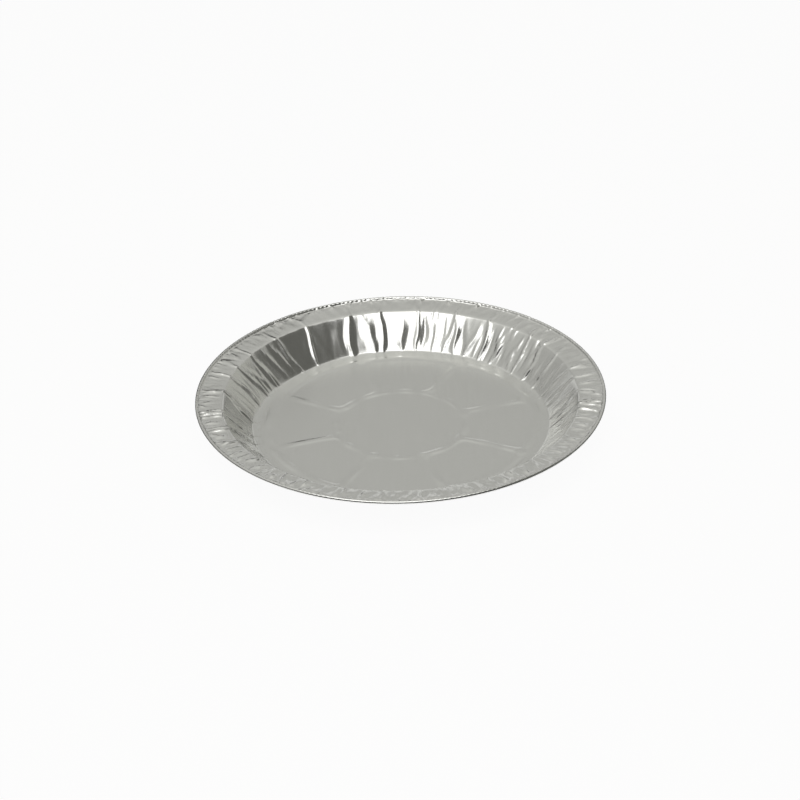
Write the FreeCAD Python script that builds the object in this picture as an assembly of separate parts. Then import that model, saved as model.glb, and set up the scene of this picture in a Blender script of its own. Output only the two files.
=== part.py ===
import FreeCAD, Part
import math
import os

# The tin is one sheet of foil, pressed and folded: an embossed floor, a pleated wall,
# a flat flange and a rolled rim. It stands on Z = 0 with its centre over the origin.
# Lengths are in mm. Azimuths are in degrees, clockwise from the back (+Y) seen from above.
# Heights and radii are those of the sheet's upper face, where its bends would be sharp.

# Sheet
foil = 0.1

# Wheel pattern, pressed up into the floor
hub_radius = 33.5
rib_width = 5.5
rib_rise = 0.4
rib_draft = 1.8
panel_corner = 3.0
spoke_count = 8
spoke_azimuth = 27.0

# Floor, wall and flange
floor_margin = 5.5
floor_radius = 82.5
wall_height = 17.6
wall_slope = 46.8
flange_width = 12.2
flange_rise = 1.0
floor_bend = 1.2
mouth_bend = 0.7

# Rolled rim: the sheet turns up off the flange and rolls out, down and under, in flats
# that are counted round the roll and round the tin
rim_land = 0.6
roll_radius = 1.1
roll_start = 195.0
roll_turn = 325.0
roll_facets = 7
rim_facets = 64

# Pleats that take up the spare foil of the wall, as ridges on the upper face
pleat_rise = 1.2
pleat_width = 4.4
panel_step = 8.0
pleat_azimuths = [
    6, 14, 21, 33, 41, 49, 57, 64, 72, 79, 89, 95, 101, 108, 118, 128, 139, 146, 154, 169,
    185, 198, 208, 217, 230, 243, 254, 262, 276, 286, 293, 303, 316, 327, 343, 355,
]


def place(azimuth, radius, height):
    """The point at an azimuth, a radius and a height."""
    turn = math.radians(azimuth)
    return FreeCAD.Vector(radius * math.sin(turn), radius * math.cos(turn), height)


def ring(radius, height):
    """A circle round the tin's axis."""
    return Part.Wire([Part.makeCircle(radius, FreeCAD.Vector(0, 0, height))])


def closed(corners):
    """The closed outline through the corners."""
    return Part.makePolygon(corners + [corners[0]])


def flat(wires):
    """A flat face inside the first wire and outside the others."""
    return Part.makeFace(wires, "Part::FaceMakerBullseye")


def band(wires):
    """The faces between wires that follow each other, with straight lines from one to the next."""
    return Part.makeLoft(wires, False, True).Faces


# Embossed floor

wheel_radius = floor_radius - floor_margin
draft_slope = math.atan2(rib_rise, rib_draft)


def corner_arc(spoke, side, radius, outward, inset, height):
    """A panel's rounded corner, from its side along a spoke to its side along a ring rib."""
    corner = panel_corner - inset
    off_spoke = rib_width / 2 + inset + corner
    reach = radius - outward * corner
    turn = spoke + side * math.degrees(math.asin(off_spoke / reach))
    centre = place(turn, reach, height)
    to_spoke = place(spoke - side * 90, corner, 0)
    to_ring = place(turn, outward * corner, 0)
    middle = (to_spoke + to_ring).normalize() * corner
    return Part.Arc(centre + to_spoke, centre + middle, centre + to_ring)


def panel_outline(spoke, inset, height):
    """The outline of the panel clockwise of a spoke; a positive inset makes it smaller."""
    pitch = 360 / spoke_count
    inner = hub_radius + rib_width + inset
    outer = wheel_radius - rib_width - inset
    near_hub = corner_arc(spoke, 1, inner, -1, inset, height)
    near_rim = corner_arc(spoke, 1, outer, 1, inset, height)
    far_rim = corner_arc(spoke + pitch, -1, outer, 1, inset, height)
    far_hub = corner_arc(spoke + pitch, -1, inner, -1, inset, height)
    rim_middle = place(spoke + pitch / 2, outer, height)
    hub_middle = place(spoke + pitch / 2, inner, height)
    return Part.Wire([
        near_hub.toShape(),
        Part.makeLine(near_hub.StartPoint, near_rim.StartPoint),
        near_rim.toShape(),
        Part.Arc(near_rim.EndPoint, rim_middle, far_rim.EndPoint).toShape(),
        far_rim.toShape(),
        Part.makeLine(far_rim.StartPoint, far_hub.StartPoint),
        far_hub.toShape(),
        Part.Arc(far_hub.EndPoint, hub_middle, near_hub.EndPoint).toShape(),
    ])


def floor_faces(depth, edge):
    """The floor's face at a depth in the sheet, with edge as its outer boundary."""
    shift = depth * math.tan(draft_slope / 2)
    foot = foil - depth
    crest = foot + rib_rise
    spokes = [spoke_azimuth + 360 / spoke_count * count for count in range(spoke_count)]
    rim_foot = ring(wheel_radius - shift, foot)
    rim_crest = ring(wheel_radius - rib_draft - shift, crest)
    hub_crest = ring(hub_radius + rib_draft + shift, crest)
    hub_foot = ring(hub_radius + shift, foot)
    panel_feet = [panel_outline(spoke, -shift, foot) for spoke in spokes]
    panel_crests = [panel_outline(spoke, -rib_draft - shift, crest) for spoke in spokes]
    margin = flat([edge, rim_foot])
    wheel = flat([rim_crest, hub_crest] + panel_crests)
    faces = [margin, wheel, flat([hub_foot])]
    faces += band([rim_foot, rim_crest])
    faces += band([hub_foot, hub_crest])
    for panel_foot, panel_crest in zip(panel_feet, panel_crests):
        faces.append(flat([panel_foot]))
        faces += band([panel_foot, panel_crest])
    return faces


# Pleated wall and flange

wall_angle = math.radians(wall_slope)
wall_length = wall_height / math.sin(wall_angle)
mouth_radius = floor_radius + wall_height / math.tan(wall_angle)
flange_angle = math.atan2(flange_rise, flange_width)
land_radius = mouth_radius + flange_width
land_height = foil + wall_height + flange_rise


def wall_point(share):
    """The radius and height of a point of the wall, at a share of the way between its bends."""
    reach = floor_bend + share * (wall_length - mouth_bend - floor_bend)
    return floor_radius + reach * math.cos(wall_angle), foil + reach * math.sin(wall_angle)


def flange_point(reach):
    """The radius and height of a point of the flange, at a distance out from the mouth."""
    return mouth_radius + reach, foil + wall_height + reach * math.tan(flange_angle)


# The section's points, each with its shares of the pleats' rise and width
section = [
    ((floor_radius - floor_bend, foil), 0.0, 0.35),
    (wall_point(0.0), 0.30, 0.60),
    (wall_point(0.3), 0.95, 1.00),
    (wall_point(0.7), 1.00, 0.85),
    (wall_point(1.0), 0.60, 0.50),
    (flange_point(mouth_bend), 0.50, 0.45),
    ((land_radius, land_height), 0.0, 0.45),
]

# The sheet's columns: an azimuth and a side, which is 0 on a pleat's crest and -1 or 1 at its
# two feet. Columns on the panels between pleats have no side.
columns = []
for pleat, following in zip(pleat_azimuths, pleat_azimuths[1:] + [pleat_azimuths[0] + 360]):
    columns += [(pleat, -1), (pleat, 0), (pleat, 1)]
    steps = math.ceil((following - pleat) / panel_step)
    columns += [(pleat + (following - pleat) * step / steps, None) for step in range(1, steps)]


def section_normals():
    """The upward normal at each point of the section, as long as its bend's mitre asks."""
    points = [point for point, rise, width in section]
    before = (points[0][0] - 1, points[0][1])
    after = (points[-1][0] + 1, points[-1][1])
    chain = [before] + points + [after]
    normals = []
    for last, here, following in zip(chain, chain[1:], chain[2:]):
        arriving = math.atan2(here[1] - last[1], here[0] - last[0])
        leaving = math.atan2(following[1] - here[1], following[0] - here[0])
        middle = (arriving + leaving) / 2
        mitre = 1 / math.cos((leaving - arriving) / 2)
        normals.append((-math.sin(middle) * mitre, math.cos(middle) * mitre))
    return normals


def pleat_corners(point, normal, rise, width, depth):
    """The corners of one outline round the tin, a ridge at each pleat, at a depth in the sheet."""
    radius = point[0] - normal[0] * depth
    height = point[1] - normal[1] * depth
    crest_radius = radius + normal[0] * rise * pleat_rise
    crest_height = height + normal[1] * rise * pleat_rise
    foot = math.degrees(pleat_width / 2 * width / point[0])
    corners = []
    for azimuth, side in columns:
        if side == 0:
            corners.append(place(azimuth, crest_radius, crest_height))
        else:
            corners.append(place(azimuth + (side or 0) * foot, radius, height))
    return corners


def pleat_outlines(depth):
    """The corners of the wall and flange at a depth in the sheet, from the floor out."""
    outlines = []
    for (point, rise, width), normal in zip(section, section_normals()):
        outlines.append(pleat_corners(point, normal, rise, width, depth))
    return outlines


def pleat_facets(outlines):
    """Flat triangles from each outline to the next, folded up towards the pleats' crests."""
    faces = []
    for inner, outer in zip(outlines, outlines[1:]):
        for here in range(len(columns)):
            following = (here + 1) % len(columns)
            start, end = inner[here], inner[following]
            far_start, far_end = outer[here], outer[following]
            if columns[following][1] == 0:
                pair = [[start, end, far_end], [start, far_end, far_start]]
            else:
                pair = [[start, end, far_start], [end, far_end, far_start]]
            faces += [Part.Face(closed(corners)) for corners in pair]
    return faces


# Rolled rim

start_angle = math.radians(roll_start)
roll_centre_radius = land_radius + rim_land - roll_radius * math.cos(start_angle)
roll_centre_height = land_height - roll_radius * math.sin(start_angle)


def roll_outlines(depth):
    """The outlines of the roll at a depth in the sheet, from the flange's land to its hidden end."""
    radius = roll_radius - depth
    drop = roll_centre_height - (land_height - depth)
    start = math.pi + math.asin(drop / radius)
    end = start_angle - math.radians(roll_turn)
    outlines = []
    for count in range(roll_facets + 1):
        angle = start + (end - start) * count / roll_facets
        across = roll_centre_radius + radius * math.cos(angle)
        height = roll_centre_height + radius * math.sin(angle)
        azimuths = [360 / rim_facets * corner for corner in range(rim_facets)]
        outlines.append(closed([place(azimuth, across, height) for azimuth in azimuths]))
    return outlines


# The whole sheet: its upper face, its lower face and the cut edge at the roll's end


def sheet_faces(depth):
    """The sheet's face at a depth, from the middle of the floor to the end of the roll."""
    pleats = pleat_outlines(depth)
    roll = roll_outlines(depth)
    floor = floor_faces(depth, closed(pleats[0]))
    land = flat([roll[0], closed(pleats[-1])])
    return floor + pleat_facets(pleats) + [land] + band(roll)


cut_edge = band([roll_outlines(0)[-1], roll_outlines(foil)[-1]])
skin = Part.makeCompound(sheet_faces(0) + sheet_faces(foil) + cut_edge)
skin.sewShape()
pie_tin = Part.makeSolid(Part.makeShell(skin.Faces))
if pie_tin.Volume < 0:
    pie_tin.reverse()

os.makedirs("parts", exist_ok=True)
pie_tin.exportStep("parts/pie_tin.step")

box = pie_tin.BoundBox
print("pie_tin: %.1f x %.1f x %.1f mm" % (box.XLength, box.YLength, box.ZLength))
print("valid %s, closed %s, faces %d" % (pie_tin.isValid(), pie_tin.isClosed(), len(pie_tin.Faces)))
print("volume %.1f mm3, half its area %.0f mm2" % (pie_tin.Volume, pie_tin.Area / 2))
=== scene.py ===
# %% [markdown]
# # A foil pie tin
#
# A pie tin of this kind is one round blank of soft aluminium, 0.1 mm thick. A press pushes it down
# between two dies. The floor gets a stiffening wheel, the wall takes up its spare foil in pleats, and
# the edge is rolled over and crimped, so that it doesn't cut and doesn't bend.
#
# This lesson makes the tin the way the press does. It starts with a plain sheet, and three small
# node trees stamp the floor, fold the wall and crimp the rim. The sheet gets its thickness last.

# %% Load the CAD part as the frame
import math
import random

import bmesh
import bpy
from mathutils import Matrix, Vector


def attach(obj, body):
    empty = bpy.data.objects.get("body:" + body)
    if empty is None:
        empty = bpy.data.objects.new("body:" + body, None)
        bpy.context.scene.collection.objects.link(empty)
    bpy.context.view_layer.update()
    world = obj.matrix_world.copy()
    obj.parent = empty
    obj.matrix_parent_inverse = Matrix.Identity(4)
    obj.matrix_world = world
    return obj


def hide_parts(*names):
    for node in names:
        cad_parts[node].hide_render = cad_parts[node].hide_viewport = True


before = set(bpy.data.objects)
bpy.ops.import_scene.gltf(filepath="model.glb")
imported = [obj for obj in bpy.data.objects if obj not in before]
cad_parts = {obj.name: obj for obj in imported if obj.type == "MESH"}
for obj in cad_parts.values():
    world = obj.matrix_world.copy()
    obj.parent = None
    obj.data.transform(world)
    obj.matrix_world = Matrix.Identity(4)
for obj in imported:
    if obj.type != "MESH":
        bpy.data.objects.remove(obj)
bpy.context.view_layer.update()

MM = 0.001

# %% [markdown]
# ## The sizes of the tin
#
# These are the values that the CAD model is driven by, so the pressed sheet follows the solid.
# Radii and heights are those of the sheet's upper face, in millimetres.

# %% The driving sizes
foil = 0.1
hub_radius = 33.5
rib_width = 5.5
rib_rise = 0.4
rib_draft = 1.8
panel_corner = 3.0
spoke_count = 8
spoke_azimuth = 27.0
floor_radius = 82.5
floor_margin = 5.5
wall_height = 17.6
wall_slope = math.radians(46.8)
flange_width = 12.2
flange_rise = 1.0
rim_land = 0.6
roll_radius = 1.1

wheel_radius = floor_radius - floor_margin
wall_length = wall_height / math.sin(wall_slope)
mouth_radius = floor_radius + wall_height / math.tan(wall_slope)
flange_slope = math.atan2(flange_rise, flange_width)
flange_length = math.hypot(flange_rise, flange_width)
print("mouth radius %.2f mm, wall length %.2f mm" % (mouth_radius, wall_length))

# %% [markdown]
# ## Five small helpers
#
# Every tree below, of geometry or of a material, is built by one function that adds a node with its
# settings and its links. The second starts a geometry tree with named sizes, and the third ends one.
# The fourth runs a tree on a piece once and keeps the plain mesh, so that nothing live is left behind.
# The last makes a mesh.

# %% Add a node, start and end a tree, run it, make a mesh
def add(tree, kind, inputs=(), **settings):
    """Adds a node with its settings; an input is a value, a socket, or a node's first output."""
    node = tree.nodes.new(kind)
    for name, value in settings.items():
        setattr(node, name, value)
    pairs = inputs.items() if isinstance(inputs, dict) else enumerate(inputs)
    for key, value in pairs:
        if isinstance(value, bpy.types.Node):
            value = value.outputs[0]
        if isinstance(value, bpy.types.NodeSocket):
            tree.links.new(value, node.inputs[key])
        elif value is not None:
            node.inputs[key].default_value = value
    return node


def new_tree(name, sizes):
    """A geometry tree with one sheet in and out, and its named sizes; returns it and its input node."""
    tree = bpy.data.node_groups.new(name, "GeometryNodeTree")
    tree.interface.new_socket("Sheet", in_out="INPUT", socket_type="NodeSocketGeometry")
    tree.interface.new_socket("Sheet", in_out="OUTPUT", socket_type="NodeSocketGeometry")
    for label, kind in sizes.items():
        tree.interface.new_socket(label, in_out="INPUT", socket_type=kind)
    return tree, tree.nodes.new("NodeGroupInput")


def finish_tree(tree, size, sheet, offset):
    """Moves the sheet by the offset, gives it its finish and hands it out; returns the tree."""
    moved = add(tree, "GeometryNodeSetPosition", {"Geometry": sheet, "Offset": offset})
    finished = add(tree, "GeometryNodeSetMaterial", {"Geometry": moved, "Material": size["Finish"]})
    add(tree, "NodeGroupOutput", [finished])
    return tree


def press(piece, tree, sizes):
    """Runs a geometry tree on a piece, and keeps the result as the piece's plain mesh."""
    step = piece.modifiers.new(tree.name, "NODES")
    step.node_group = tree
    for socket in tree.interface.items_tree:
        if socket.in_out == "INPUT" and socket.name in sizes:
            step[socket.identifier] = sizes[socket.name]
    graph = bpy.context.evaluated_depsgraph_get()
    pressed = bpy.data.meshes.new_from_object(piece.evaluated_get(graph), depsgraph=graph)
    piece.modifiers.remove(step)
    piece.data = pressed
    print("%s: %d points, %d faces" % (tree.name, len(pressed.vertices), len(pressed.polygons)))


def new_piece(name, points, faces, unit=MM):
    """A mesh object in the scene, with points in millimetres or in another unit."""
    mesh = bpy.data.meshes.new(name)
    mesh.from_pydata([[value * unit for value in point] for point in points], [], faces)
    piece = bpy.data.objects.new(name, mesh)
    bpy.context.scene.collection.objects.link(piece)
    return piece


FLOAT, INTEGER = "NodeSocketFloat", "NodeSocketInt"
MATERIAL, OBJECT = "NodeSocketMaterial", "NodeSocketObject"
MATH, VECTOR, MAP_RANGE = "ShaderNodeMath", "ShaderNodeVectorMath", "ShaderNodeMapRange"
NAMED = "GeometryNodeInputNamedAttribute"

# %% [markdown]
# ## The foil's finish
#
# The metal is soft-annealed aluminium foil, cold rolled between polished rolls and then pressed.
# Rolling leaves fine lines in one direction, so reflections are bright but a little smeared. Metal has
# no diffuse colour: everything that the eye sees is its surroundings, greyed a little by the oxide.
# So the folds are made in the mesh, and the lines are in the roughness alone. As bump they would look
# like sand on the slopes.
#
# The rolling lines are really about 0.02 mm apart, too fine for the picture. They are drawn 0.5 mm
# apart, which gives the same smeared grey in the floor.

# %% Cold rolled aluminium foil
def linear(code):
    """The linear colour of an sRGB hex code."""
    parts = [int(code[at:at + 2], 16) / 255 for at in (1, 3, 5)]
    parts = [part / 12.92 if part <= 0.04045 else ((part + 0.055) / 1.055) ** 2.4 for part in parts]
    return parts + [1.0]


def rolled_aluminium_foil():
    """Soft aluminium foil: bright, and duller along its rolling lines, which run along Y."""
    material = bpy.data.materials.new("cold_rolled_aluminium_foil")
    material.use_nodes = True
    tree = material.node_tree
    shader = tree.nodes["Principled BSDF"]
    shader.inputs["Base Color"].default_value = linear("#F3F3F1")
    shader.inputs["Metallic"].default_value = 1.0
    place = add(tree, "ShaderNodeTexCoord").outputs["Object"]
    line_spacing, line_length = 0.5 * MM, 25 * MM
    along = add(tree, "ShaderNodeMapping", {
        "Vector": place, "Scale": (1 / line_spacing, 1 / line_length, 1 / line_spacing)})
    lines = add(tree, "ShaderNodeTexNoise", {"Vector": along, "Scale": 1.0, "Detail": 2.0})
    dullness = add(tree, MAP_RANGE, {
        "Value": lines.outputs["Fac"], "From Min": 0.3, "From Max": 0.7, "To Min": 0.17, "To Max": 0.27})
    tree.links.new(dullness.outputs[0], shader.inputs["Roughness"])
    return material


foil_finish = rolled_aluminium_foil()
print("material:", foil_finish.name)

# %% [markdown]
# ## The floor
#
# The wheel in the floor stiffens it: a hub ring, an outer ring and eight spokes, pressed up by less
# than a millimetre, with rounded panels between them. One spoke's sector is enough, because the die
# is the same all the way round. Its columns run along the spoke's edges and its rows along the rings,
# so that the sides of the ribs stay crisp with few faces.

# %% One sector of the flat floor
half_sector = math.pi / spoke_count
spoke_offsets = [0.0, 0.7, 1.1, 1.6, 2.1, 2.5, 2.9, 3.4, 4.4, 6.0]
panel_share = [0.25, 0.5, 0.75, 1.0]
hub_rows = [4.0, 11.0, 18.0, 25.0, 30.0, 32.6, 33.3, 33.8, 34.4, 35.0, 35.6]
hub_rows += [36.9, 37.5, 38.1, 38.7, 39.2, 40.2]
panel_rows = [42.2, 45.5, 50.0, 55.0, 60.0, 65.0, 68.2, 70.2]
rim_rows = [71.3, 71.8, 72.4, 73.0, 73.6, 74.9, 75.5, 76.1, 76.7, 77.2, 78.2]
sector_rows = hub_rows + panel_rows + rim_rows


def column_angle(column, radius):
    """The angle from the spoke's axis of a column, where it crosses a radius."""
    reach = max(radius, hub_radius)
    last = math.asin(spoke_offsets[-1] / reach)
    if column < len(spoke_offsets):
        return math.asin(spoke_offsets[column] / reach)
    return last + (half_sector - last) * panel_share[column - len(spoke_offsets)]


side_columns = len(spoke_offsets) + len(panel_share)
sector_columns = list(range(-side_columns + 1, side_columns))
points = [(0.0, 0.0, foil)]
for radius in sector_rows:
    for column in sector_columns:
        angle = math.copysign(column_angle(abs(column), radius), column)
        points.append((radius * math.sin(angle), radius * math.cos(angle), foil))
width = len(sector_columns)
faces = [(0, 2 + column, 1 + column) for column in range(width - 1)]
for row in range(len(sector_rows) - 1):
    for column in range(width - 1):
        corner = 1 + row * width + column
        faces.append((corner, corner + 1, corner + width + 1, corner + width))
floor_sheet = new_piece("floor_sheet", points, faces)
print("sector: %d rows of %d points" % (len(sector_rows), width))

# %% [markdown]
# The tree stamps the sector first and then repeats it. How high a point is lifted depends only on its
# distance from the edge of the rib: nothing outside it, the full rise one draft's width inside. The
# distance to a rounded panel is the usual one of two straight sides with a corner's radius between.

# %% How high the die lifts a point
def rib_lift(tree, size, place):
    """The lift that the wheel's ribs give a point of the sector."""
    side = add(tree, "ShaderNodeSeparateXYZ", [place]).outputs["X"]
    flat_place = add(tree, VECTOR, [place, (1, 1, 0)], operation="MULTIPLY")
    radius = add(tree, VECTOR, [flat_place], operation="LENGTH").outputs["Value"]
    across = add(tree, MATH, [side], operation="ABSOLUTE")
    half_rib = add(tree, MATH, [size["Rib width"], 0.5], operation="MULTIPLY")
    off_spoke = add(tree, MATH, [across, half_rib], operation="SUBTRACT")
    hub_edge = add(tree, MATH, [size["Hub radius"], size["Rib width"]], operation="ADD")
    rim_edge = add(tree, MATH, [size["Wheel radius"], size["Rib width"]], operation="SUBTRACT")
    off_hub = add(tree, MATH, [radius, hub_edge], operation="SUBTRACT")
    off_rim = add(tree, MATH, [rim_edge, radius], operation="SUBTRACT")
    off_ring = add(tree, MATH, [off_hub, off_rim], operation="MINIMUM")
    short_ways = []
    for distance in (off_spoke, off_ring):
        short = add(tree, MATH, [size["Panel corner"], distance], operation="SUBTRACT")
        short_ways.append(add(tree, MATH, [short, 0.0], operation="MAXIMUM"))
    corner = add(tree, "ShaderNodeCombineXYZ", short_ways)
    to_corner = add(tree, VECTOR, [corner], operation="LENGTH").outputs["Value"]
    in_panel = add(tree, MATH, [size["Panel corner"], to_corner], operation="SUBTRACT")
    in_hub = add(tree, MATH, [size["Hub radius"], radius], operation="SUBTRACT")
    in_margin = add(tree, MATH, [radius, size["Wheel radius"]], operation="SUBTRACT")
    inside = add(tree, MATH, [in_hub, in_margin], operation="MAXIMUM")
    inside = add(tree, MATH, [inside, in_panel], operation="MAXIMUM")
    on_rib = add(tree, MATH, [inside, -1.0], operation="MULTIPLY")
    return add(tree, MAP_RANGE, {
        "Value": on_rib, "From Max": size["Rib draft"], "To Max": size["Rib rise"]})


# %% [markdown]
# Soft foil springs back unevenly after the stamp, so the wheel is crisp in some places and nearly gone
# in others. A noise in patches of 12 mm takes a share of each point's height away again.

# %% How much of the stamp springs back
def spring_back(tree, size, place):
    """How far a point of the stamped floor sinks, as a negative height."""
    patch_scale = add(tree, MATH, [1.0, size["Patch size"]], operation="DIVIDE")
    patches = add(tree, VECTOR, {0: place, "Scale": patch_scale}, operation="SCALE")
    patches = add(tree, "ShaderNodeTexNoise", {"Vector": patches, "Scale": 1.0, "Detail": 1.0})
    kept = add(tree, MAP_RANGE, {
        "Value": patches.outputs["Fac"], "From Min": 0.42, "From Max": 0.66,
        "To Min": size["Shallowest"]})
    lost = add(tree, MATH, [kept, 1.0], operation="SUBTRACT")
    top = add(tree, "ShaderNodeSeparateXYZ", [place]).outputs["Z"]
    height = add(tree, MATH, [top, size["Foil"]], operation="SUBTRACT")
    return add(tree, MATH, [height, lost], operation="MULTIPLY")


# %% The tree that stamps the floor
def stamp_floor():
    """A tree that presses one sector's ribs up, repeats it round the floor and lets it spring back."""
    tree, sizes = new_tree("stamp_floor", {
        "Spokes": INTEGER, "Spoke azimuth": FLOAT, "Hub radius": FLOAT, "Wheel radius": FLOAT,
        "Rib width": FLOAT, "Rib rise": FLOAT, "Rib draft": FLOAT, "Panel corner": FLOAT,
        "Foil": FLOAT, "Shallowest": FLOAT, "Patch size": FLOAT, "Finish": MATERIAL})
    size = sizes.outputs
    place = add(tree, "GeometryNodeInputPosition")
    offset = add(tree, "ShaderNodeCombineXYZ", {"Z": rib_lift(tree, size, place)})
    stamped = add(tree, "GeometryNodeSetPosition", {"Geometry": size["Sheet"], "Offset": offset})
    places = add(tree, "GeometryNodePoints", {"Count": size["Spokes"]})
    turn = add(tree, MATH, [2 * math.pi, size["Spokes"]], operation="DIVIDE")
    turned = add(tree, MATH, [add(tree, "GeometryNodeInputIndex"), turn], operation="MULTIPLY")
    turned = add(tree, MATH, [turned, size["Spoke azimuth"]], operation="SUBTRACT")
    rotation = add(tree, "ShaderNodeCombineXYZ", {"Z": turned})
    sectors = add(tree, "GeometryNodeInstanceOnPoints", {
        "Points": places, "Instance": stamped, "Rotation": rotation})
    whole = add(tree, "GeometryNodeRealizeInstances", [sectors])
    merged = add(tree, "GeometryNodeMergeByDistance", {"Geometry": whole, "Distance": 0.01 * MM})
    sunk = add(tree, "ShaderNodeCombineXYZ", {"Z": spring_back(tree, size, place)})
    return finish_tree(tree, size, merged, sunk)


press(floor_sheet, stamp_floor(), {
    "Spokes": spoke_count, "Spoke azimuth": math.radians(spoke_azimuth),
    "Hub radius": hub_radius * MM, "Wheel radius": wheel_radius * MM, "Rib width": rib_width * MM,
    "Rib rise": rib_rise * MM, "Rib draft": rib_draft * MM, "Panel corner": panel_corner * MM,
    "Foil": foil * MM, "Shallowest": 0.08, "Patch size": 12 * MM, "Finish": foil_finish})

# %% [markdown]
# ## The wall, the flange and the rim
#
# They are one section that runs round the tin: a soft bend off the floor, the sloping wall, a tight
# bend at the mouth, the flange, and a roll that leaves it upwards and goes out, down and under.
# It is a grid made row by row, so that each point can keep two facts that the presses need: its
# azimuth, and its run, which is the way along the foil from the floor's edge.

# %% The section, row by row
def bend(corner, arriving, leaving, reach, steps):
    """Points of a round bend at a corner of the section, from one slope to the next."""
    start = (corner[0] - reach * math.cos(arriving), corner[1] - reach * math.sin(arriving))
    radius = reach / math.tan(abs(leaving - arriving) / 2)
    side = 1 if leaving > arriving else -1
    centre = (start[0] - side * radius * math.sin(arriving), start[1] + side * radius * math.cos(arriving))
    row = []
    for step in range(steps + 1):
        slope = arriving + (leaving - arriving) * step / steps
        across, up = side * radius * math.sin(slope), side * radius * math.cos(slope)
        row.append((centre[0] + across, centre[1] - up))
    return row


floor_edge = (floor_radius, foil)
mouth_edge = (mouth_radius, foil + wall_height)
land = (mouth_radius + flange_width, foil + wall_height + flange_rise)
floor_reach, mouth_reach = 1.2, 0.9
inner_radius, wall_steps = 79.2, 8
flange_reaches = (3.0, 5.2, 7.2, 9.0, 10.2, 11.0, 11.7)
section = [(inner_radius, foil)] + bend(floor_edge, 0, wall_slope, floor_reach, 4)
for step in range(1, wall_steps):
    reach = floor_reach + (wall_length - floor_reach - mouth_reach) * step / wall_steps
    section.append((floor_radius + reach * math.cos(wall_slope), foil + reach * math.sin(wall_slope)))
section += bend(mouth_edge, wall_slope, flange_slope, mouth_reach, 3)
for reach in flange_reaches:
    section.append((
        mouth_edge[0] + reach * math.cos(flange_slope), mouth_edge[1] + reach * math.sin(flange_slope)))

# %% [markdown]
# The rim rolls out, down and under until its cut edge is hidden. Here it is round, with a row about
# every 30 degrees, where the solid's roll has seven flats.

# %% The roll
roll_start, roll_turn, roll_steps = math.radians(195), math.radians(325), 11
roll_centre = (
    land[0] + rim_land - roll_radius * math.cos(roll_start),
    land[1] - roll_radius * math.sin(roll_start))
# The bead is a little thinner than the solid's roll, so the folds under it don't lift it out of the box
bead_slack = 0.12
bead_radius = roll_radius - bead_slack
first_roll_row = len(section)
for step in range(roll_steps + 1):
    angle = roll_start - roll_turn * step / roll_steps
    section.append((
        roll_centre[0] + bead_radius * math.cos(angle), roll_centre[1] + bead_radius * math.sin(angle)))

# %% [markdown]
# The rows become a ring. Each point is told its azimuth and its run as it is made, because they can't
# be read off its place once the sheet is folded.

# %% The run of each row
runs = [section[0][0] - floor_radius]
for before, here in zip(section, section[1:]):
    runs.append(runs[-1] + math.dist(before, here))
print("section: %d rows, run to the roll's end %.1f mm" % (len(section), runs[-1]))

# %% The ring that carries the wall, the flange and the rim
def ring_faces(rows, columns):
    """The faces of a closed ring of points, from row to row."""
    faces = []
    for row in range(rows - 1):
        for column in range(columns):
            here, following = row * columns + column, row * columns + (column + 1) % columns
            faces.append((here, following, following + columns, here + columns))
    return faces


def give_facts(piece, facts):
    """Writes named facts on a piece, with a value for each of its points."""
    for name, values in facts.items():
        piece.data.attributes.new(name, "FLOAT", "POINT").data.foreach_set("value", values)


ring_columns = 1080
points = []
for radius, height in section:
    for column in range(ring_columns):
        turn = 2 * math.pi * column / ring_columns
        points.append((radius * math.sin(turn), radius * math.cos(turn), height))
wall_sheet = new_piece("wall_sheet", points, ring_faces(len(section), ring_columns))
azimuths = [360 * column / ring_columns for column in range(ring_columns)]
give_facts(wall_sheet, {
    "azimuth": azimuths * len(section), "run": [run for run in runs for column in range(ring_columns)]})
print("ring: %d points, first face's normal up %s" % (len(points), wall_sheet.data.polygons[0].normal.z > 0))
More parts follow.
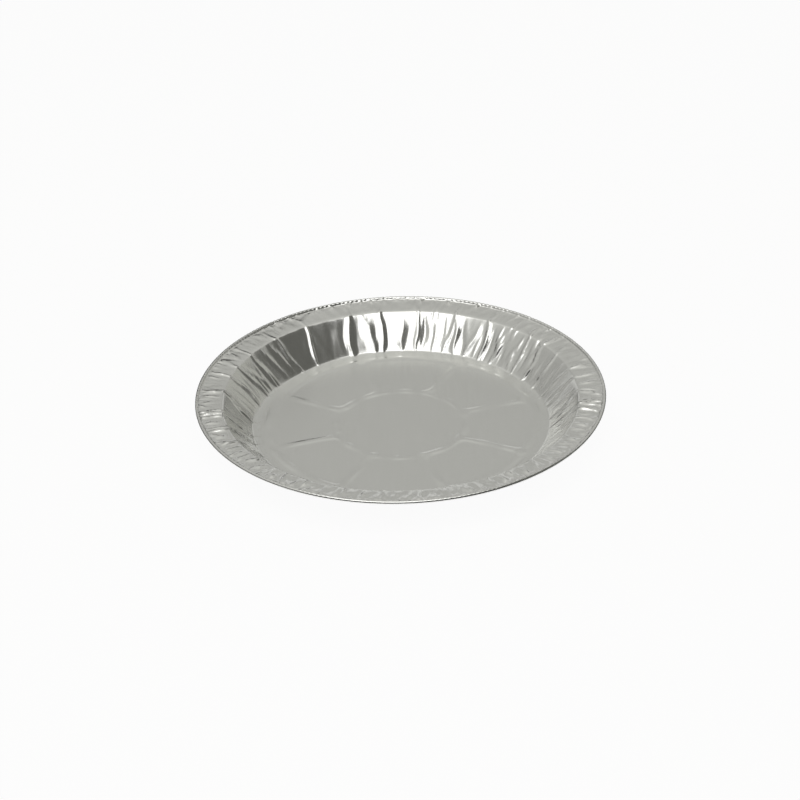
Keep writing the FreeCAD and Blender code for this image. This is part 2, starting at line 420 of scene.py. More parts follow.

# %% [markdown]
# ## The folds
#
# The wall is narrower than the flat blank was, so its spare foil stands up in pleats. A press leaves
# them where the foil happens to give way, so they are listed one line each: where a fold
# starts and ends on the sheet, how wide and how high it is, and how far its crest leans to one side.
# A fold with a negative rise is a dent. Azimuths are in degrees, clockwise from the back.
#
# Small folds crowd the back right of the wall. On the left, four pleats lean so that their steep side
# faces the front, where it mirrors something dark.

# %% The table of pleats
# Pleats of the wall: azimuth at the floor, azimuth at the mouth, width, rise, lean of the crest,
# and the rise of the crease that goes on over the flange
pleats = [
    (7.2, 5.6, 4.6, 0.7, 0.3, 0.3), (13.6, 13.2, 3.2, 0.6, -0.3, 0.35), (22.6, 20.5, 5.0, 1.0, 0.3, 0.4),
    (34.0, 32.0, 3.8, 1.1, 0.1, 0.4), (39.2, 40.8, 3.8, 1.0, 0.2, 0.35), (49.8, 49.2, 3.0, 0.8, 0.3, 0.6),
    (57.6, 56.2, 3.4, 0.8, -0.3, 0.5), (64.8, 63.2, 3.2, 0.9, 0.3, 0.5), (73.4, 75.0, 3.2, 0.7, 0.4, 0.6),
    (81.4, 80.2, 3.0, 0.6, 0.3, 0.5), (90.6, 89.5, 2.8, 0.7, 0.4, 0.7), (96.6, 97.2, 2.6, 0.6, 0.2, 0.7),
    (101.4, 101.0, 2.8, 0.6, -0.4, 0.6), (107.8, 107.2, 3.2, 0.8, -0.4, 0.6),
    (118.0, 118.0, 3.2, 0.7, -0.4, 0.4), (127.0, 127.4, 3.4, 0.8, 0.4, 0.5),
    (138.0, 137.2, 3.2, 0.8, 0.4, 0.6), (146.6, 145.6, 3.0, 0.7, 0.3, 0.5),
    (154.0, 153.6, 3.2, 0.7, -0.3, 0.5), (169.0, 168.4, 3.4, 0.8, 0.4, 0.4),
    (185.0, 185.6, 3.4, 0.8, 0.3, 0.4), (198.0, 197.4, 3.4, 0.8, -0.4, 0.4),
    (208.0, 208.8, 3.2, 0.8, 0.4, 0.5), (219.0, 216.8, 3.4, 0.8, -0.4, 0.5),
    (231.0, 230.2, 3.6, 0.9, 0.4, 0.6), (246.8, 244.2, 3.4, 1.0, -0.5, 0.6),
    (256.4, 254.8, 3.2, 1.0, -0.5, 0.6), (262.0, 262.4, 3.6, 1.1, -0.5, 0.7),
    (273.0, 276.0, 3.6, 1.1, -0.5, 0.6), (286.6, 286.0, 4.4, 0.8, 0.5, 0.6),
    (293.6, 293.4, 4.2, 0.7, 0.5, 0.35), (304.6, 300.8, 4.4, 0.8, 0.4, 0.25),
    (317.0, 314.2, 4.6, 0.7, -0.2, 0.25), (325.2, 327.0, 3.4, 0.9, 0.2, 0.3),
    (340.6, 343.6, 9.0, 1.2, -0.2, 0.25), (353.2, 354.2, 7.0, 1.1, 0.2, 0.3),
]
wall_start, wall_end = -1.6, wall_length + 2.2
crease_start, crease_end = wall_length - 0.8, wall_length + flange_length - 0.3
crease_width = 3.0

# %% The table of smaller folds
# Azimuth and run where they start, azimuth and run where they end, width, rise, and the lean if any
small_folds = [
    (0.2, 0, 2.6, 23, 9.0, 1.0, 0.1), (3.8, 4, 5.5, 19, 1.8, 0.45), (10.0, 1, 8.6, 22, 4.2, -0.8),
    (13.2, 15, 13.2, 26, 2.8, -0.6), (11.4, 18, 11.9, 26, 2.4, -0.5), (17.2, 0, 20.2, 20, 4.2, 0.9, 0.4),
    (15.4, 2, 16.2, 23, 3.4, -0.4), (25.6, 1, 23.4, 20, 4.4, -0.9), (26.8, 0, 29.4, 20, 5.0, 1.0, -0.4),
    (30.6, 1, 30.2, 14, 2.6, 0.5), (36.4, 0, 35.2, 20, 4.0, -0.8), (40.0, 9, 37.6, 22, 3.2, 0.9),
    (40.2, 9, 44.2, 25, 3.4, 1.0), (44.0, 0, 47.4, 23, 3.0, 0.9, 0.2), (42.4, 1, 42.0, 12, 2.4, -0.5),
    (47.2, 0, 46.0, 10, 2.2, 0.6), (52.6, 3, 52.0, 20, 3.2, -0.5), (54.5, 18, 54.4, 26, 3.6, -0.9),
    (56.8, 8, 55.4, 17, 3.4, -0.9), (58.6, 0, 57.8, 8, 3.4, -0.9), (60.8, 2, 60.2, 14, 2.4, 0.5),
    (65.2, 0, 64.2, 9, 3.8, -0.9), (69.0, 2, 69.6, 16, 2.6, 0.45, 0.3), (71.2, 12, 70.0, 24, 2.4, 0.5),
    (77.6, 2, 78.2, 15, 2.4, 0.4, 0.2), (86.0, 2, 85.2, 20, 3.0, -0.35), (93.6, 3, 93.2, 18, 2.6, 0.4, 0.2),
    (350.6, -1, 348.2, 24, 9.0, 1.0, 0.1), (339.6, 3, 341.6, 18, 2.0, -0.35),
    (336.4, 2, 338.2, 23, 8.0, 0.2), (333.2, 1, 327.6, 17, 3.4, 0.42), (322.6, 4, 325.8, 22, 2.6, 0.35),
    (333.4, 2, 334.0, 22, 6.0, -0.15, 0.2), (321.6, 1, 320.4, 21, 5.0, 0.15),
    (315.0, 1, 309.5, 24, 3.2, 0.5, 0.3), (311.4, 1, 305.8, 23, 3.2, 0.5, 0.3),
    (302.6, 0, 302.0, 14, 2.8, 0.6, 0.3), (299.8, 2, 294.6, 22, 4.0, 0.5, 0.4),
    (298.3, 0, 300.8, 22, 3.4, 0.4, 0.4), (296.0, 0, 296.4, 12, 3.4, 0.3, 0.2),
    (289.8, 1, 290.6, 20, 4.0, 0.4, 0.4), (281.6, 3, 281.0, 19, 3.8, 0.3, 0.3),
    (278.0, 1, 279.0, 12, 3.2, 0.25, 0.3), (268.0, 6, 267.2, 21, 3.6, 0.3, 0.4),
    (250.8, 8, 249.8, 22, 3.4, 0.35, 0.4), (240.8, 0, 239.0, 12, 2.6, 0.5, 0.3),
    (75.0, 25, 75.4, 34, 3.0, 0.58), (85.0, 25, 84.0, 35, 3.0, 0.65), (90.2, 22, 93.2, 39, 2.5, 1.05),
    (94.6, 25, 96.6, 38, 2.4, 1.0), (97.0, 22, 99.2, 39, 2.5, 1.05), (100.8, 22, 103.2, 39, 2.6, 1.05),
    (104.6, 26, 105.4, 35, 3.0, 0.51), (110.8, 27, 111.4, 35, 2.8, 0.72), (113.2, 25, 114.2, 35, 3.0, 0.72),
    (122.6, 26, 121.8, 35, 3.4, 0.58), (132.0, 26, 133.2, 35, 3.4, 0.65), (141.4, 25, 142.0, 36, 3.0, 1.05),
    (149.4, 25, 150.8, 34, 3.4, 0.72), (161.4, 26, 162.6, 34, 3.4, 0.58), (177.0, 27, 178.0, 34, 3.0, 0.43),
    (191.0, 27, 192.2, 34, 3.0, 0.51), (203.0, 28, 204.2, 35, 3.0, 0.51), (213.2, 27, 212.0, 35, 3.0, 0.72),
    (222.0, 26, 221.0, 35, 3.4, 0.72), (226.0, 27, 227.4, 35, 3.0, 0.72), (234.2, 26, 233.0, 34, 3.0, 0.72),
    (236.4, 28, 236.0, 36, 2.5, 0.72), (240.6, 26, 239.4, 35, 2.8, 0.72), (243.6, 27, 245.2, 36, 2.7, 0.72),
    (247.2, 27, 248.6, 36, 2.5, 0.72), (253.0, 22, 251.0, 38, 2.6, 1.05), (257.4, 27, 256.6, 36, 2.5, 0.72),
    (260.6, 23, 259.6, 39, 2.5, 1.05), (264.6, 22, 263.4, 38, 2.5, 1.05), (262.2, 28, 262.0, 36, 2.5, 1.0),
    (273.4, 27, 273.0, 35, 2.5, 0.36), (283.4, 29, 283.0, 36, 2.5, 0.58), (295.4, 27, 299.0, 36, 2.7, 0.58),
]

# %% [markdown]
# The crease of each pleat runs on over the flange. The rest of the flange's folds are many and alike,
# so chance places them, with a fixed seed: long crinkles, higher at the front, and short ticks at the
# foot of the bead, where the roll gathers the foil. The ticks are highest at the back and the front.

# %% All folds as points with their values
folds, spans = [], []
chance = random.Random(7)
for pleat, following in zip(pleats, pleats[1:] + pleats[:1]):
    low, high, width, rise, lean, crease_rise = pleat
    folds.append((low, wall_start, high, wall_end, width, rise, lean))
    spans.append((following[1] - high) % 360)
    outer_azimuth, outer_run = high + chance.uniform(-1.2, 1.4), crease_end - chance.uniform(-0.4, 4.0)
    width = crease_width * chance.uniform(0.6, 1.2)
    folds.append((high, crease_start, outer_azimuth, outer_run, width, 1.4 * crease_rise, 0.0))
    spans.append(0.0)
folds += [(fold + (0,))[:7] for fold in small_folds]
crinkles, ticks = 110, 170
for count in range(crinkles):
    azimuth = chance.uniform(0, 360)
    frontness = 0.5 - 0.5 * math.cos(math.radians(azimuth))
    rise = chance.choice((-0.7, 1.0, 1.0)) * chance.random() ** 2
    rise *= 0.25 + 0.75 * frontness ** 2
    start_run = wall_length + chance.uniform(1.0, 9.0)
    end_azimuth, end_run = azimuth + chance.uniform(-2.4, 2.4), crease_end + chance.uniform(-2.0, 1.0)
    folds.append((azimuth, start_run, end_azimuth, end_run, chance.uniform(1.8, 3.8), rise, 0.0))
for count in range(ticks):
    azimuth = chance.uniform(0, 360)
    start_run = crease_end - chance.uniform(0.6, 3.4)
    end_azimuth, end_run = azimuth + chance.uniform(-0.8, 0.8), crease_end + 1.2
    width = chance.uniform(1.5, 2.8)
    rise = 0.15 + 0.7 * chance.random() ** 1.5
    rise *= 0.8 + 0.4 * math.cos(math.radians(2 * azimuth))
    folds.append((azimuth, start_run, end_azimuth, end_run, width, rise, 0.0))
spans += [0.0] * (len(folds) - len(spans))
fold_points = new_piece("fold_table", [(0, 0, 0)] * len(folds), [])
labels = ["start azimuth", "start run", "end azimuth", "end run", "width", "rise", "lean"]
give_facts(fold_points, dict(zip(labels, zip(*folds)), span=spans))
print("folds: %d, of them %d pleats" % (len(folds), len(pleats)))

# %% [markdown]
# A tree walks through the table with a repeat zone, one fold a turn, and adds up two things on each
# point of the sheet: its lift along the sheet's normal, and its pull towards the tin's axis.
#
# On the sheet a fold has the outline of a lens. It narrows and sinks towards both ends. Across it, two
# straight flanks rise to a sharp crest, and the lean moves the crest and makes one flank steeper.

# %% The lift of one fold
def way_round(tree, start, end):
    """The angle in radians from one azimuth to another, the short way round."""
    angle = add(tree, MATH, [end, start], operation="SUBTRACT")
    angle = add(tree, MATH, [angle, 180.0, -180.0], operation="WRAP")
    return add(tree, MATH, [angle], operation="RADIANS")


def fold_lift(tree, fold, run, radius):
    """The lift in mm that one fold of the table gives a point of the sheet."""
    share = add(tree, MAP_RANGE, {
        "Value": run, "From Min": fold["start run"], "From Max": fold["end run"]})
    centre = add(tree, MAP_RANGE, {
        "Value": run, "From Min": fold["start run"], "From Max": fold["end run"],
        "To Min": fold["start azimuth"], "To Max": fold["end azimuth"]})
    rest = add(tree, MATH, [1.0, share], operation="SUBTRACT")
    lens = add(tree, MATH, [share, rest], operation="MULTIPLY")
    lens = add(tree, MATH, [lens, 4.0], operation="MULTIPLY")
    height = add(tree, MATH, [lens, 0.6], operation="POWER")
    bent_azimuth = add(tree, NAMED, {"Name": "bent azimuth"})
    aside = add(tree, MATH, [way_round(tree, centre, bent_azimuth), radius], operation="MULTIPLY")
    half = add(tree, MATH, [lens, 0.75, 0.25], operation="MULTIPLY_ADD")
    half = add(tree, MATH, [half, fold["width"]], operation="MULTIPLY")
    half = add(tree, MATH, [half, 0.5 * MM], operation="MULTIPLY")
    aside = add(tree, MATH, [aside, half], operation="DIVIDE")
    past = add(tree, MATH, [aside, fold["lean"]], operation="SUBTRACT")
    left_side = add(tree, MATH, [fold["lean"], 1.0], operation="ADD")
    right_side = add(tree, MATH, [1.0, fold["lean"]], operation="SUBTRACT")
    left = add(tree, MATH, [past, left_side], operation="DIVIDE")
    left = add(tree, MATH, [left, -1.0], operation="MULTIPLY")
    right = add(tree, MATH, [past, right_side], operation="DIVIDE")
    away = add(tree, MATH, [left, right], operation="MAXIMUM")
    near = add(tree, MATH, [1.0, away], operation="SUBTRACT")
    near = add(tree, MATH, [near, 0.0], operation="MAXIMUM")
    lift = add(tree, MATH, [near, height], operation="MULTIPLY")
    return add(tree, MATH, [lift, fold["rise"]], operation="MULTIPLY")


# %% [markdown]
# The foil is tight between two pleats, so the panel between them is nearly flat and not round. The
# pull draws its points in from the arc of the wall towards the chord.

# %% The pull of one panel
def panel_pull(tree, fold, azimuth):
    """How far the arc of the panel after a pleat stands out from its chord, as a share of the radius."""
    half_span = add(tree, MATH, [fold["span"], 0.5], operation="MULTIPLY")
    middle = add(tree, MATH, [fold["end azimuth"], half_span], operation="ADD")
    off_middle = way_round(tree, middle, azimuth)
    half_span = add(tree, MATH, [half_span], operation="RADIANS")
    chord = add(tree, MATH, [
        add(tree, MATH, [half_span], operation="COSINE"),
        add(tree, MATH, [off_middle], operation="COSINE")], operation="DIVIDE")
    arc = add(tree, MATH, [1.0, chord], operation="SUBTRACT")
    arc = add(tree, MATH, [arc, 0.0], operation="MAXIMUM")
    within = add(tree, MATH, [off_middle], operation="ABSOLUTE")
    within = add(tree, MATH, [within, half_span], operation="LESS_THAN")
    return add(tree, MATH, [arc, within], operation="MULTIPLY")


# %% [markdown]
# Two noises make the foil uneven. Soft waves, long down the slope and short round the tin, trouble the
# back wall and are nearly gone from the sides and the front. The flange is crumpled finer, a few
# millimetres from dimple to dimple, and most at the front.

# %% The unevenness of the foil
wave_width, wave_length = 7.0, 26.0
dimple_fineness, dimple_length = 2.2, 4.5


def ripples(tree, size, around, run, length, detail):
    """A noise about zero that is stretched to a length in mm down the slope."""
    down = add(tree, MATH, [run, 1 / length], operation="MULTIPLY")
    along = add(tree, "ShaderNodeCombineXYZ", {"Z": down})
    place = add(tree, VECTOR, [around, along], operation="ADD")
    noise = add(tree, "ShaderNodeTexNoise", {
        "Vector": place, "W": size["Seed"], "Scale": 1.0, "Detail": detail}, noise_dimensions="4D")
    return add(tree, MATH, [noise.outputs["Fac"], 0.5], operation="SUBTRACT")


def uneven_foil(tree, size, flat_place, run):
    """The lift in mm that the wall's soft waves and the flange's dimples give a point."""
    unit_around = add(tree, VECTOR, [flat_place], operation="NORMALIZE")
    backwards = add(tree, "ShaderNodeSeparateXYZ", [unit_around]).outputs["Y"]
    around = add(tree, VECTOR, {0: unit_around, "Scale": floor_radius / wave_width}, operation="SCALE")
    waves = ripples(tree, size, around, run, wave_length, 1.5)
    waves = add(tree, MATH, [waves, size["Unevenness"]], operation="MULTIPLY")
    fade_in = add(tree, MAP_RANGE, {"Value": run, "From Min": 0.5, "From Max": 5.0})
    fade_out = add(tree, MAP_RANGE, {
        "Value": run, "From Min": wall_length - 3, "From Max": wall_length + 9,
        "To Min": 1.0, "To Max": 0.0})
    backness = add(tree, MAP_RANGE, {
        "Value": backwards, "From Min": 0.2, "From Max": 0.6, "To Min": 0.05})
    fades = add(tree, MATH, [fade_in, fade_out], operation="MULTIPLY")
    fades = add(tree, MATH, [fades, backness], operation="MULTIPLY")
    waves = add(tree, MATH, [waves, fades], operation="MULTIPLY")

    around = add(tree, VECTOR, {0: around, "Scale": dimple_fineness}, operation="SCALE")
    dimples = ripples(tree, size, around, run, dimple_length, 2.0)
    outwards = add(tree, MAP_RANGE, {
        "Value": run, "From Min": wall_length + 0.5, "From Max": wall_length + 4})
    frontness = add(tree, MAP_RANGE, {
        "Value": backwards, "From Min": 0.1, "From Max": -0.8, "To Min": 1.0, "To Max": 3.0})
    inwards = add(tree, MAP_RANGE, {
        "Value": run, "From Min": crease_end - 1, "From Max": crease_end + 1, "To Min": 1.0, "To Max": 0.0})
    for factor in (size["Dimples"], outwards, frontness, inwards):
        dimples = add(tree, MATH, [dimples, factor], operation="MULTIPLY")
    return add(tree, MATH, [waves, dimples], operation="ADD")


# %% [markdown]
# No fold runs quite straight either. Before the repeat zone the tree stores a bent azimuth on the
# sheet, which wanders a little from place to place, and the folds are measured from that. After the
# zone the sheet moves once, by all that was added up.

# %% The tree that folds the wall
wander_patch = 15 * MM


def fold_wall():
    """A tree that raises every fold of the table on the sheet and flattens the panels between."""
    tree, sizes = new_tree("fold_wall", {
        "Folds": OBJECT, "Mouth run": FLOAT, "Flattening": FLOAT, "Unevenness": FLOAT, "Dimples": FLOAT,
        "Wander": FLOAT, "Seed": FLOAT, "Finish": MATERIAL})
    size = sizes.outputs
    table = add(tree, "GeometryNodeObjectInfo", {"Object": size["Folds"]}).outputs["Geometry"]
    count = add(tree, "GeometryNodeAttributeDomainSize", [table], component="MESH").outputs["Point Count"]
    start = add(tree, "GeometryNodeRepeatInput")
    end = tree.nodes.new("GeometryNodeRepeatOutput")
    start.pair_with_output(end)
    for name in ("Lift", "Pull"):
        end.repeat_items.new("FLOAT", name)
    tree.links.new(count, start.inputs["Iterations"])

    place = add(tree, "GeometryNodeInputPosition")
    flat_place = add(tree, VECTOR, [place, (1, 1, 0)], operation="MULTIPLY")
    radius = add(tree, VECTOR, [flat_place], operation="LENGTH").outputs["Value"]
    azimuth, run = add(tree, NAMED, {"Name": "azimuth"}), add(tree, NAMED, {"Name": "run"})
    wander = add(tree, VECTOR, {0: place, "Scale": 1 / wander_patch}, operation="SCALE")
    wander = add(tree, "ShaderNodeTexNoise", {"Vector": wander, "Scale": 1.0, "Detail": 1.0})
    wander = add(tree, MATH, [wander.outputs["Fac"], 0.5], operation="SUBTRACT")
    wander = add(tree, MATH, [wander, size["Wander"]], operation="MULTIPLY")
    wander = add(tree, MATH, [wander, azimuth], operation="ADD")
    marked = add(tree, "GeometryNodeStoreNamedAttribute", {
        "Geometry": size["Sheet"], "Name": "bent azimuth", "Value": wander})
    tree.links.new(marked.outputs[0], start.inputs["Geometry"])

    fold = {}
    for label in labels + ["span"]:
        value = add(tree, NAMED, {"Name": label})
        fold[label] = add(tree, "GeometryNodeSampleIndex", {
            "Geometry": table, "Value": value, "Index": start.outputs["Iteration"]})
    moves = {"Lift": fold_lift(tree, fold, run, radius), "Pull": panel_pull(tree, fold, azimuth)}
    for name, move in moves.items():
        total = add(tree, MATH, [move, start.outputs[name]], operation="ADD")
        tree.links.new(total.outputs[0], end.inputs[name])
    tree.links.new(start.outputs["Geometry"], end.inputs["Geometry"])

    uneven = uneven_foil(tree, size, flat_place, run)
    lifted = add(tree, MATH, [end.outputs["Lift"], uneven], operation="ADD")
    lifted = add(tree, MATH, [lifted, MM], operation="MULTIPLY")
    normal = add(tree, "GeometryNodeInputNormal")
    raised = add(tree, VECTOR, {0: normal, "Scale": lifted}, operation="SCALE")
    pull_in = add(tree, MAP_RANGE, {"Value": run, "From Max": size["Mouth run"]})
    pull_out = add(tree, MAP_RANGE, {
        "Value": run, "From Min": size["Mouth run"], "From Max": wall_length + 7,
        "To Min": 1.0, "To Max": 0.0})
    pull_share = add(tree, MATH, [pull_in, pull_out], operation="MULTIPLY")
    pull_share = add(tree, MATH, [pull_share, size["Flattening"]], operation="MULTIPLY")
    pulled = add(tree, MATH, [end.outputs["Pull"], pull_share], operation="MULTIPLY")
    pulled = add(tree, MATH, [pulled, -1.0], operation="MULTIPLY")
    inward = add(tree, VECTOR, {0: flat_place, "Scale": pulled}, operation="SCALE")
    offset = add(tree, VECTOR, [raised, inward], operation="ADD")
    return finish_tree(tree, size, end.outputs["Geometry"], offset)


press(wall_sheet, fold_wall(), {
    "Folds": fold_points, "Mouth run": wall_length, "Flattening": 0.5, "Unevenness": 0.75,
    "Dimples": 0.9, "Wander": 5.0, "Seed": 4.0, "Finish": foil_finish})
bpy.data.objects.remove(fold_points)

# %% [markdown]
# ## The crimped rim
#
# A wheel with teeth rolls the rim shut, and its teeth leave fine crimps about 2.6 mm apart. They are
# one wave round the bead, deepest at the inner side, where the teeth press. No two are quite alike,
# because the foil under them is folded, so each crimp has its own depth from a fixed seed. Towards the
# front of this tin they are worn nearly flat, and only the back keeps them deep.

# %% The tree that crimps the rim
def crimp_rim():
    """A tree that waves the bead in and out of its own round section."""
    tree, sizes = new_tree("crimp_rim", {
        "Crimps": INTEGER, "Depth": FLOAT, "Bead centre radius": FLOAT, "Bead centre height": FLOAT,
        "Roll run": FLOAT, "Seed": FLOAT, "Finish": MATERIAL})
    size = sizes.outputs
    azimuth, run = add(tree, NAMED, {"Name": "azimuth"}), add(tree, NAMED, {"Name": "run"})
    place = add(tree, "GeometryNodeInputPosition")
    flat_place = add(tree, VECTOR, [place, (1, 1, 0)], operation="MULTIPLY")
    around = add(tree, VECTOR, [flat_place], operation="NORMALIZE")
    centre = add(tree, VECTOR, {0: around, "Scale": size["Bead centre radius"]}, operation="SCALE")
    up = add(tree, "ShaderNodeCombineXYZ", {"Z": size["Bead centre height"]})
    centre = add(tree, VECTOR, [centre, up], operation="ADD")
    out = add(tree, VECTOR, [place, centre], operation="SUBTRACT")
    out = add(tree, VECTOR, [out], operation="NORMALIZE")
    tooth = add(tree, MATH, [azimuth, 1 / 360], operation="MULTIPLY")
    tooth = add(tree, MATH, [tooth, size["Crimps"]], operation="MULTIPLY")
    number = add(tree, MATH, [tooth], operation="FLOOR")
    number = add(tree, MATH, [number, size["Seed"]], operation="ADD")
    strength = add(tree, "ShaderNodeTexWhiteNoise", {"W": number}, noise_dimensions="1D")
    strength = add(tree, MAP_RANGE, {"Value": strength.outputs["Value"], "To Min": 0.3})
    backwards = add(tree, "ShaderNodeSeparateXYZ", [around]).outputs["Y"]
    unworn = add(tree, MAP_RANGE, {
        "Value": backwards, "From Min": -0.3, "From Max": 0.6, "To Min": 0.3})
    strength = add(tree, MATH, [strength, unworn], operation="MULTIPLY")
    phase = add(tree, MATH, [tooth, 2 * math.pi], operation="MULTIPLY")
    wave = add(tree, MATH, [phase], operation="COSINE")
    wave = add(tree, MATH, [wave, -0.5, -0.5], operation="MULTIPLY_ADD")
    facing = add(tree, VECTOR, [out, around], operation="DOT_PRODUCT").outputs["Value"]
    inner = add(tree, MAP_RANGE, {
        "Value": facing, "From Min": -1.0, "From Max": 1.0, "To Min": 1.0, "To Max": 0.45})
    full_run = add(tree, MATH, [size["Roll run"], 0.8], operation="ADD")
    begins = add(tree, MAP_RANGE, {"Value": run, "From Min": size["Roll run"], "From Max": full_run})
    for factor in (strength, inner, begins, size["Depth"]):
        wave = add(tree, MATH, [wave, factor], operation="MULTIPLY")
    offset = add(tree, VECTOR, {0: out, "Scale": wave}, operation="SCALE")
    return finish_tree(tree, size, size["Sheet"], offset)


crimps, crimp_depth = 270, 0.5
press(wall_sheet, crimp_rim(), {
    "Crimps": crimps, "Depth": crimp_depth * MM, "Bead centre radius": roll_centre[0] * MM,
    "Bead centre height": roll_centre[1] * MM, "Roll run": runs[first_roll_row], "Seed": 11.0,
    "Finish": foil_finish})

# %% [markdown]
# ## One sheet
#
# The stamped floor and the folded wall meet on the flat margin outside the wheel. Bridging their two
# open edges makes them one sheet. All faces have to look the same way, upwards, before the sheet gets
# its thickness, downwards, so that the face that the eye sees stays in place.

# %% Join the sheets and give them their thickness
whole = bmesh.new()
whole.from_mesh(floor_sheet.data)
floor_faces = set(whole.faces)
whole.from_mesh(wall_sheet.data)
wall_faces = set(whole.faces) - floor_faces
for sheet_faces in (floor_faces, wall_faces):
    if sum(face.normal.z * face.calc_area() for face in sheet_faces) < 0:
        bmesh.ops.reverse_faces(whole, faces=list(sheet_faces))
open_edges = [edge for edge in whole.edges if edge.is_boundary]
inner_edges = [edge for edge in open_edges if edge.verts[0].co.to_2d().length < floor_radius * MM]
seam = bmesh.ops.bridge_loops(whole, edges=inner_edges)["faces"]
bmesh.ops.triangulate(whole, faces=seam)
for face in whole.faces:
    if face not in floor_faces and face not in wall_faces:
        face.normal_update()
        if face.normal.z < 0:
            face.normal_flip()
    face.smooth = True
    face.material_index = 0
tin = new_piece("foil_pie_tin", [], [])
whole.to_mesh(tin.data)
whole.free()
tin.data.materials.append(foil_finish)
for sheet in (floor_sheet, wall_sheet):
    bpy.data.objects.remove(sheet)
gauge = tin.modifiers.new("foil gauge", "SOLIDIFY")
gauge.thickness = foil * MM
gauge.offset = -1.0
graph = bpy.context.evaluated_depsgraph_get()
thick = bpy.data.meshes.new_from_object(tin.evaluated_get(graph), depsgraph=graph)
tin.modifiers.remove(gauge)
tin.data = thick
for name in ("azimuth", "run", "bent azimuth"):
    if name in thick.attributes:
        thick.attributes.remove(thick.attributes[name])
thick.calc_loop_triangles()
heights = [vertex.co.z / MM for vertex in thick.vertices]
print("tin: %d triangles, from z %.3f to %.3f mm" % (
    len(thick.loop_triangles), min(heights), max(heights)))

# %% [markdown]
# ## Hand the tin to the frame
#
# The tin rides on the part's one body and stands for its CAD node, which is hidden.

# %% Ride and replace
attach(tin, "root")
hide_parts("pie_tin")
print("pieces:", tin.name)

# %% [markdown]
# ## The table, the light and the camera
#
# Foil shows its surroundings, so the light is built as what the foil sees. The table comes first. It
# is matt white board: the eye and the foil see it nearly white whatever light falls on it, and the
# share that is left of its own paint keeps the tin's soft shadow.

# %% The pale table
def matt_surface(name, points, faces, paint, code, roughness=1.0):
    """A surface in metres, with an even paint that has no highlight."""
    surface = new_piece(name, points, faces, unit=1)
    matt = bpy.data.materials.new(paint)
    matt.use_nodes = True
    shader = matt.node_tree.nodes["Principled BSDF"]
    shader.inputs["Base Color"].default_value = linear(code)
    shader.inputs["Roughness"].default_value = roughness
    shader.inputs["Specular IOR Level"].default_value = 0.0
    surface.data.materials.append(matt)
    return surface


table_size, shown_white = 8.0, 0.93
half_table, table_top = table_size / 2, -0.05 * MM
corners = [(half_table * x, half_table * y, table_top) for x, y in ((-1, -1), (1, -1), (1, 1), (-1, 1))]
table = matt_surface("table", corners, [(0, 1, 2, 3)], "matt_white_board", "#FAFAFA", 0.9)
paint_tree = table.data.materials[0].node_tree
board = paint_tree.nodes["Principled BSDF"]
seen = add(paint_tree, "ShaderNodeLightPath")
seen_by_eye = seen.outputs["Is Camera Ray"]
for ray in ("Is Glossy Ray", "Is Transmission Ray"):
    seen_by_eye = add(paint_tree, MATH, [seen_by_eye, seen.outputs[ray]], operation="MAXIMUM")
white_share = add(paint_tree, MATH, [seen_by_eye, shown_white], operation="MULTIPLY")
white = add(paint_tree, "ShaderNodeEmission", {"Color": (1, 1, 1, 1), "Strength": 1.0})
mixed = add(paint_tree, "ShaderNodeMixShader", {0: white_share, 1: board, 2: white})
paint_tree.links.new(mixed.outputs[0], paint_tree.nodes["Material Output"].inputs["Surface"])
print("table: %.0f m" % table_size)

# %% [markdown]
# The studio round the table is an even grey, warm by a trace, that gets lighter upwards. The floor and
# the flange mirror its lower part. A softbox over the front left fills the back wall with white, and a
# long weak strip, low behind the tin, glints on the slopes of the ribs and the dimples.

# %% The studio and its two lamps
lowest_grey, added_grey = 0.322, 0.355
studio = bpy.data.worlds.new("studio")
studio.use_nodes = True
sky = studio.node_tree
grey = sky.nodes["Background"]
direction = add(sky, "ShaderNodeTexCoord").outputs["Generated"]
height = add(sky, "ShaderNodeSeparateXYZ", [direction]).outputs["Z"]
squared = add(sky, MATH, [height, height], operation="MULTIPLY")
greys = add(sky, MATH, [squared, added_grey, lowest_grey], operation="MULTIPLY_ADD")
sky.links.new(greys.outputs[0], grey.inputs["Strength"])
grey.inputs["Color"].default_value = (1.0, 1.0, 0.95, 1.0)
bpy.context.scene.world = studio


def area_lamp(name, width, height, radiance, location, rotation):
    """A rectangular lamp, in metres and degrees, as bright as the radiance, that the camera can't see."""
    light = bpy.data.lights.new(name, "AREA")
    light.shape = "RECTANGLE"
    light.size, light.size_y = width, height
    light.energy = math.pi * width * height * radiance
    lamp = bpy.data.objects.new(name, light)
    lamp.location = location
    lamp.rotation_euler = [math.radians(angle) for angle in rotation]
    lamp.visible_camera = False
    bpy.context.scene.collection.objects.link(lamp)
    print("%s: %.1f W" % (name, light.energy))


box_height = 1.0
area_lamp("softbox", 0.91, 1.06, 0.95, (-0.13, -0.47, box_height), (0, 0, -20))
area_lamp("strip", 4.6, 0.60, 0.30, (-0.45, 3.0, 0.75), (-90, 0, 0))

# %% [markdown]
# Cards shape the other reflections, as in a real product studio. A grey card over the right gives the
# back left panels their dark tone, a pale one behind the right keeps the left wall light, and a dark
# one in front draws the lines of the folds that face it. Felt and paper have no highlight, so each is
# one even tone in the foil. The camera doesn't see them, and they cast no shadow.

# %% The cards
def reflected_card(name, points, faces, paint, code):
    """A matt card, in metres, that only reflections show."""
    card = matt_surface(name, points, faces, paint, code)
    card.visible_camera = card.visible_diffuse = card.visible_shadow = False
    print("%s: %d corners" % (name, len(points)))
    return card


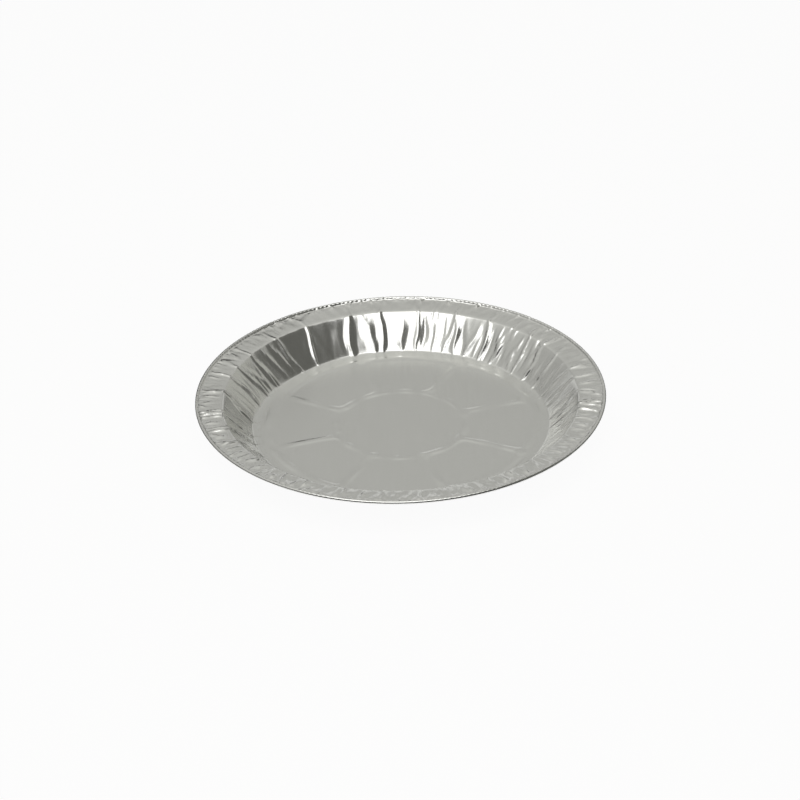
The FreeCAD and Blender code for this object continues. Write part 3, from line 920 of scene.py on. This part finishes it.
over_right = [
    (0.16, -0.95), (0.46, -0.12), (0.30, 0.85), (0.70, 0.60), (1.45, 0.50), (1.85, 0.75), (1.95, 1.30),
    (3.00, 1.20), (2.60, -1.40)]
over_right = [(x, y, box_height) for x, y in over_right]
back_right = [(1.76, 2.43, 0.0), (2.65, 1.41, 0.0), (2.65, 1.41, 1.95), (1.76, 2.43, 1.95)]
front = [(-3.2, -2.2, 0.0), (3.2, -2.2, 0.0), (3.2, -2.2, 1.9), (-3.2, -2.2, 1.9)]
for name, points, paint, code in (
        ("right_card", over_right, "right_card_felt", "#7C7C79"),
        ("light_card", back_right, "light_card_felt", "#F4F4F0"),
        ("front_card", front, "front_card_felt", "#404040")):
    card = reflected_card(name, points, [tuple(range(len(points)))], paint, code)

# %% [markdown]
# A low collar of black paper stands round the tin, 36 mm outside its rim. The bead mirrors it as the
# thin dark line round the tin's outline. The collar is taller at the back left, where that line is
# broad, and low elsewhere, so that the walls don't mirror it.

# %% The collar
collar_radius, collar_low, collar_high, collar_steps = 0.150, 0.029, 0.048, 96
tall_from, tall_to = 110, 155
foot, top = [], []
for step in range(collar_steps):
    turn = 2 * math.pi * step / collar_steps
    x, y = collar_radius * math.cos(turn), collar_radius * math.sin(turn)
    foot.append((x, y, 0.0))
    top.append((x, y, collar_high if tall_from < math.degrees(turn) < tall_to else collar_low))
collar = reflected_card("dark_collar", foot + top, ring_faces(2, collar_steps), "black_paper", "#202020")

# %% [markdown]
# The camera stands 30 degrees above the table, 1.7 m away, with a long lens, so that the ellipses of
# the rim and the floor have the proportions of a product picture. It is rolled by a degree and a half.

# %% The camera
tin_radius = 114.0 * MM
elevation, roll = 0.5269, 0.0270
distance = 15.0 * tin_radius
focal_pixels, picture_width = 3026.23, 800
target = Vector((-0.0029, 0.2313, 0.0)) * tin_radius
backwards = Vector((0, -math.cos(elevation), math.sin(elevation)))
upright = Vector((0, math.sin(elevation), math.cos(elevation)))
sideways = Vector((1, 0, 0))
right = math.cos(roll) * sideways - math.sin(roll) * upright
above = math.sin(roll) * sideways + math.cos(roll) * upright
lens = bpy.data.cameras.new("camera")
lens.sensor_width = 36.0
lens.lens = focal_pixels / picture_width * lens.sensor_width
camera = bpy.data.objects.new("camera", lens)
bpy.context.scene.collection.objects.link(camera)
axes = Matrix((right, above, backwards)).transposed().to_4x4()
camera.matrix_world = Matrix.Translation(target + backwards * distance) @ axes
bpy.context.scene.camera = camera
bpy.context.scene.view_settings.view_transform = "Standard"
print("camera: %.1f mm lens at %.2f m" % (lens.lens, distance))
